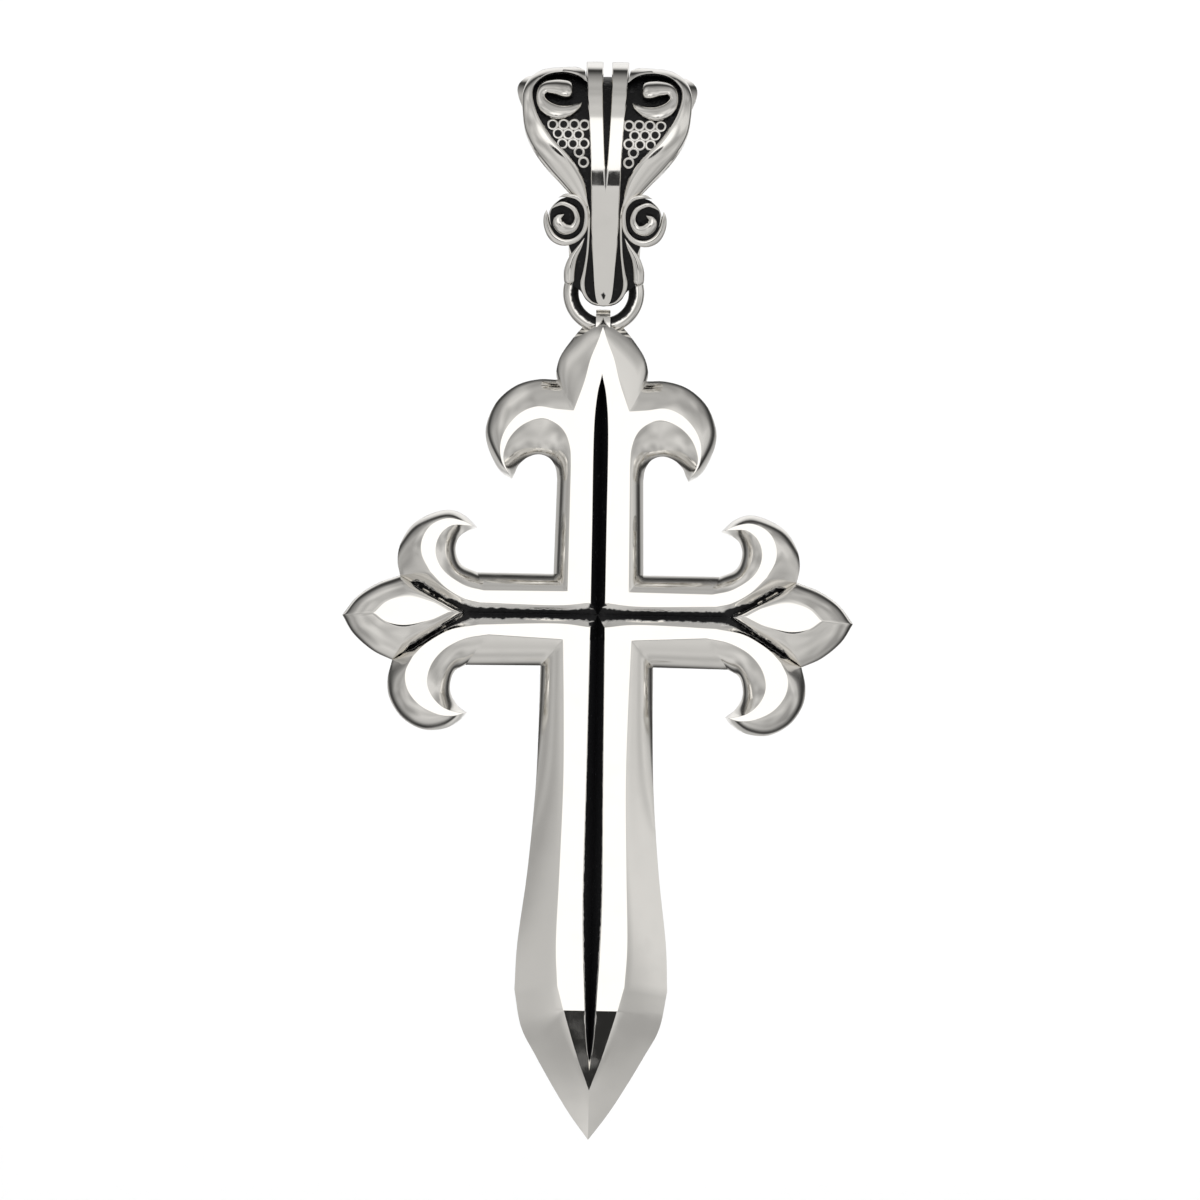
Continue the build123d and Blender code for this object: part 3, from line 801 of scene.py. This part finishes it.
recessShape = {
    "edge": [(1.5, 4.9), (2.3, 4.92), (3.2, 4.95), (4.4, 4.75), (5.2, 4.2), (5.4, 3.3), (5.1, 2.0),
             (4.55, 1.0),
             (3.9, 0), (3.0, -1), (2.15, -2), (1.75, -3), (2.3, -3.75), (3.3, -4.2), (3.85, -5.1),
             (3.6, -6.3),
             (2.7, -7.0), (2.35, -7.7), (2.2, -8.4), (2.35, -9.4), (2.15, -10.0), (1.6, -10.45),
             (1.25, -11.0),
             (0.75, -11.36), (0.0, -11.48)],
    "height": 0.04, "thickness": 0.12,
}


def makeRecess():
    # the blackened floor between the strap, the rims, the scrolls and the rails
    s = recessShape
    edge = flow(s["edge"], 120)
    top, foot = edge[0].y, edge[-1].y
    bm = bmesh.new()
    lanes = []
    for share in (0.0, 0.2, 0.4, 0.6, 0.8, 1.0):
        row = []
        for i, p in enumerate(edge):
            z = top + (foot - top) * i / 120
            row.append((onBail(p.x * share, z + (p.y - z) * share, s["height"]), 0.0, 0))
        lanes.append(row)
    loftLanes(bm, lanes)
    bmesh.ops.mirror(bm, geom=bm.verts[:] + bm.edges[:] + bm.faces[:], axis="X", merge_dist=1e-6)
    bmesh.ops.recalc_face_normals(bm, faces=bm.faces[:])
    bmesh.ops.solidify(bm, geom=bm.faces[:], thickness=s["thickness"] * mm)
    newPiece("recess_floor", bm, "bail", [], [blackened], mirrored=False)


dimpleShape = {
    "pitch": 0.74, "radius": 0.325, "wire": 0.1, "height": 0.05,     # mm
    "rowStep": 0.87,            # rows apart, as a share of the pitch
    "firstRow": -2.1, "lastRow": 1.6, "firstColumn": 1.2, "columns": 8,
    "stray": 0.04,              # mm that a punch mark strays from the grid
}


def makeDimples(side):
    # a raised net of touching rings, as a round punch leaves it
    s = dimpleShape
    bm = bmesh.new()
    row = 0
    z = s["firstRow"]
    while z < s["lastRow"]:
        for column in range(s["columns"]):
            x = s["firstColumn"] + (column + (row % 2) / 2) * s["pitch"]
            if insideHeart(x, z):
                jitter = s["stray"] * sin(7.3 * x + 11.9 * z)
                turns = [2 * pi * i / 12 for i in range(13)]
                mark = [(x + jitter + s["radius"] * cos(a), z - jitter + s["radius"] * sin(a), s["height"],
                         s["wire"]) for a in turns]
                tubeOnBail(bm, mark, 24, sides=8)
        row += 1
        z += s["pitch"] * s["rowStep"]
    if side == "left":
        bmesh.ops.scale(bm, vec=(-1, 1, 1), verts=bm.verts[:])
    newPiece("dimple_net_" + side, bm, "bail", [], [silver], mirrored=False, sharp=60)


def insideHeart(x, z):
    line = [p for p in flow(rimShape["inner"], 60) if p.y < 3.2]
    for a, b in zip(line, line[1:]):
        if b.y <= z <= a.y:
            edge = a.x + (b.x - a.x) * (z - a.y) / (b.y - a.y)
            return strapHalf(z) + 0.2 < x < edge - 0.38
    return False


makeSaddle()
makeRecess()
makeStrap()
for side in ("left", "right"):
    makeRim(side)
    makeScrolls(side)
    makeRails(side)
    makeDimples(side)
print("bail made")

# the eye keeps its CAD shape and takes the same silver
eye = frame["nodes"]["ring_eye"]
eye.data.materials.clear()
eye.data.materials.append(silver)


# Light, floor and camera
studio = {
    "frameWidth": 84.0, "distance": 1400.0, "middle": (0.141, -32.03), "roll": 1.064,
    "roomFront": 1.3, "roomAll": 0.45,      # light on what isn't polished: from the front, and from all round
    "mirrorLight": 1.2,
    # what polished metal sees at each cosine from the front: a white front panel, a warm tent, a dark far rim
    "tent": [(-1.0, 0.85), (-0.76, 0.74), (-0.66, 0.5), (-0.6, 0.1), (-0.48, 0.05), (-0.36, 0.2),
             (-0.2, 0.46),
             (0.2, 0.60), (0.55, 0.62), (0.8, 0.64), (0.9, 0.74), (0.955, 1.1), (1.0, 1.2)],
    "blotch": (1.7, 0.62, 1.18),             # scale and range of the tent's uneven brightness
    "gapDown": 21.0, "gapRadius": (8.8, 7.6),   # the dark gap under the front panel, in degrees
}


def makeCamera():
    data = bpy.data.cameras.new("camera")
    data.sensor_width = 36.0
    data.lens = 36.0 * studio["distance"] / studio["frameWidth"]
    data.clip_start = 0.01
    data.clip_end = 20.0
    camera = bpy.data.objects.new("camera", data)
    place = Vector((studio["middle"][0], -studio["distance"] + frontY, studio["middle"][1])) * mm
    camera.matrix_world = (Matrix.Translation(place) @ Matrix.Rotation(radians(90), 4, "X")
                           @ Matrix.Rotation(radians(studio["roll"]), 4, "Z"))
    bpy.context.scene.collection.objects.link(camera)
    bpy.context.scene.camera = camera


def makeFloor():
    # metres: a floor that curves up into a wall, both well clear of a camera on any side
    depth, front, wall, bend, halfWidth = -0.35, -2.4, 2.6, 0.6, 3.2
    bm = bmesh.new()
    line = [(front, depth)]
    for degrees in range(0, 91, 9):
        turn = radians(degrees)
        line.append((wall - bend + bend * sin(turn), depth + bend * (1 - cos(turn))))
    line.append((wall, 2.6))
    row = [bm.verts.new((-halfWidth, y, z)) for y, z in line]
    edges = [bm.edges.new(pair) for pair in zip(row, row[1:])]
    made = bmesh.ops.extrude_edge_only(bm, edges=edges)["geom"]
    far = [g for g in made if isinstance(g, bmesh.types.BMVert)]
    bmesh.ops.translate(bm, vec=(2 * halfWidth, 0, 0), verts=far)
    bmesh.ops.recalc_face_normals(bm, faces=bm.faces[:])
    for face in bm.faces:
        face.smooth = True
    mesh = bpy.data.meshes.new("floor")
    bm.to_mesh(mesh)
    bm.free()
    floor = bpy.data.objects.new("floor", mesh)
    bpy.context.scene.collection.objects.link(floor)
    material, tree = newMaterial("pale_card")
    shader = addNode(tree, "BsdfPrincipled", {"Base Color": linearColor("#F6F6F6"), "Roughness": 0.9})
    addNode(tree, "OutputMaterial", {}, {"Surface": shader.outputs[0]})
    mesh.materials.append(material)
    floor.visible_glossy = False


def makeWorld():
    # a light tent: white round the camera, warm grey to the sides, dark at its far rim and in the gap just
    # under the front panel
    world = bpy.data.worlds.new("tent")
    bpy.context.scene.world = world
    world.use_nodes = True
    tree = world.node_tree
    tree.nodes.clear()
    way = addNode(tree, "TexCoord").outputs["Generated"]
    facing = addNode(tree, "VectorMath", {"operation": "DOT_PRODUCT", 1: (0, -1, 0)}, {0: way})
    share = addNode(tree, "MapRange", {"From Min": -1.0, "From Max": 1.0},
                    {"Value": facing.outputs["Value"]})
    ramp = addNode(tree, "ValToRGB", {}, {0: share.outputs[0]})
    elements = ramp.color_ramp.elements
    for i, (cosine, value) in enumerate(studio["tent"]):
        spot = elements[i] if i < 2 else elements.new((cosine + 1) / 2)
        spot.position = (cosine + 1) / 2
        tone = value / studio["mirrorLight"]
        spot.color = (tone, tone * 0.99, tone * 0.975, 1.0)
    scale, low, high = studio["blotch"]
    cloud = addNode(tree, "TexNoise", {"Scale": scale, "Detail": 1.0}, {"Vector": way})
    uneven = addNode(tree, "MapRange", {"From Min": 0.35, "From Max": 0.65, "To Min": low, "To Max": high},
                     {"Value": cloud.outputs["Fac"]})
    front = addNode(tree, "MapRange", {"From Min": 0.84, "From Max": 0.95},
                    {"Value": facing.outputs["Value"]})
    blotches = addNode(tree, "Mix", {"data_type": "FLOAT", 3: 1.0},
                       {0: front.outputs[0], 2: uneven.outputs[0]})
    down = radians(studio["gapDown"])
    gap = addNode(tree, "VectorMath", {"operation": "DOT_PRODUCT", 1: (0, -cos(down), -sin(down))}, {0: way})
    outer, inner = (cos(radians(a)) for a in studio["gapRadius"])
    lit = addNode(tree, "MapRange", {"From Min": outer, "From Max": inner, "To Min": 1.0, "To Max": 0.03},
                  {"Value": gap.outputs["Value"]})
    both = addNode(tree, "Math", {"operation": "MULTIPLY"}, {0: lit.outputs[0], 1: blotches.outputs[0]})
    light = addNode(tree, "VectorMath", {"operation": "SCALE"},
                    {0: ramp.outputs[0], "Scale": both.outputs[0]})
    mirrored = addNode(tree, "Background", {"Strength": studio["mirrorLight"]}, {"Color": light.outputs[0]})
    ahead = addNode(tree, "Math", {"operation": "MAXIMUM", 1: 0.0}, {0: facing.outputs["Value"]})
    strength = addNode(tree, "Math", {"operation": "MULTIPLY_ADD", 1: studio["roomFront"],
                                                2: studio["roomAll"]}, {0: ahead.outputs[0]})
    room = addNode(tree, "Background", {"Color": linearColor("#FFFFFF")}, {"Strength": strength.outputs[0]})
    path = addNode(tree, "LightPath")
    soft = addNode(tree, "MixShader", {}, {0: path.outputs["Is Glossy Ray"], 1: room.outputs[0],
                                                     2: mirrored.outputs[0]})
    plain = addNode(tree, "Background", {"Color": linearColor("#FFFFFF"), "Strength": 1.0})
    seen = addNode(tree, "MixShader", {}, {0: path.outputs["Is Camera Ray"], 1: soft.outputs[0],
                                                     2: plain.outputs[0]})
    addNode(tree, "OutputWorld", {}, {"Surface": seen.outputs[0]})


makeCamera()
makeFloor()
makeWorld()
bpy.context.scene.view_settings.view_transform = "Standard"
print("studio made")
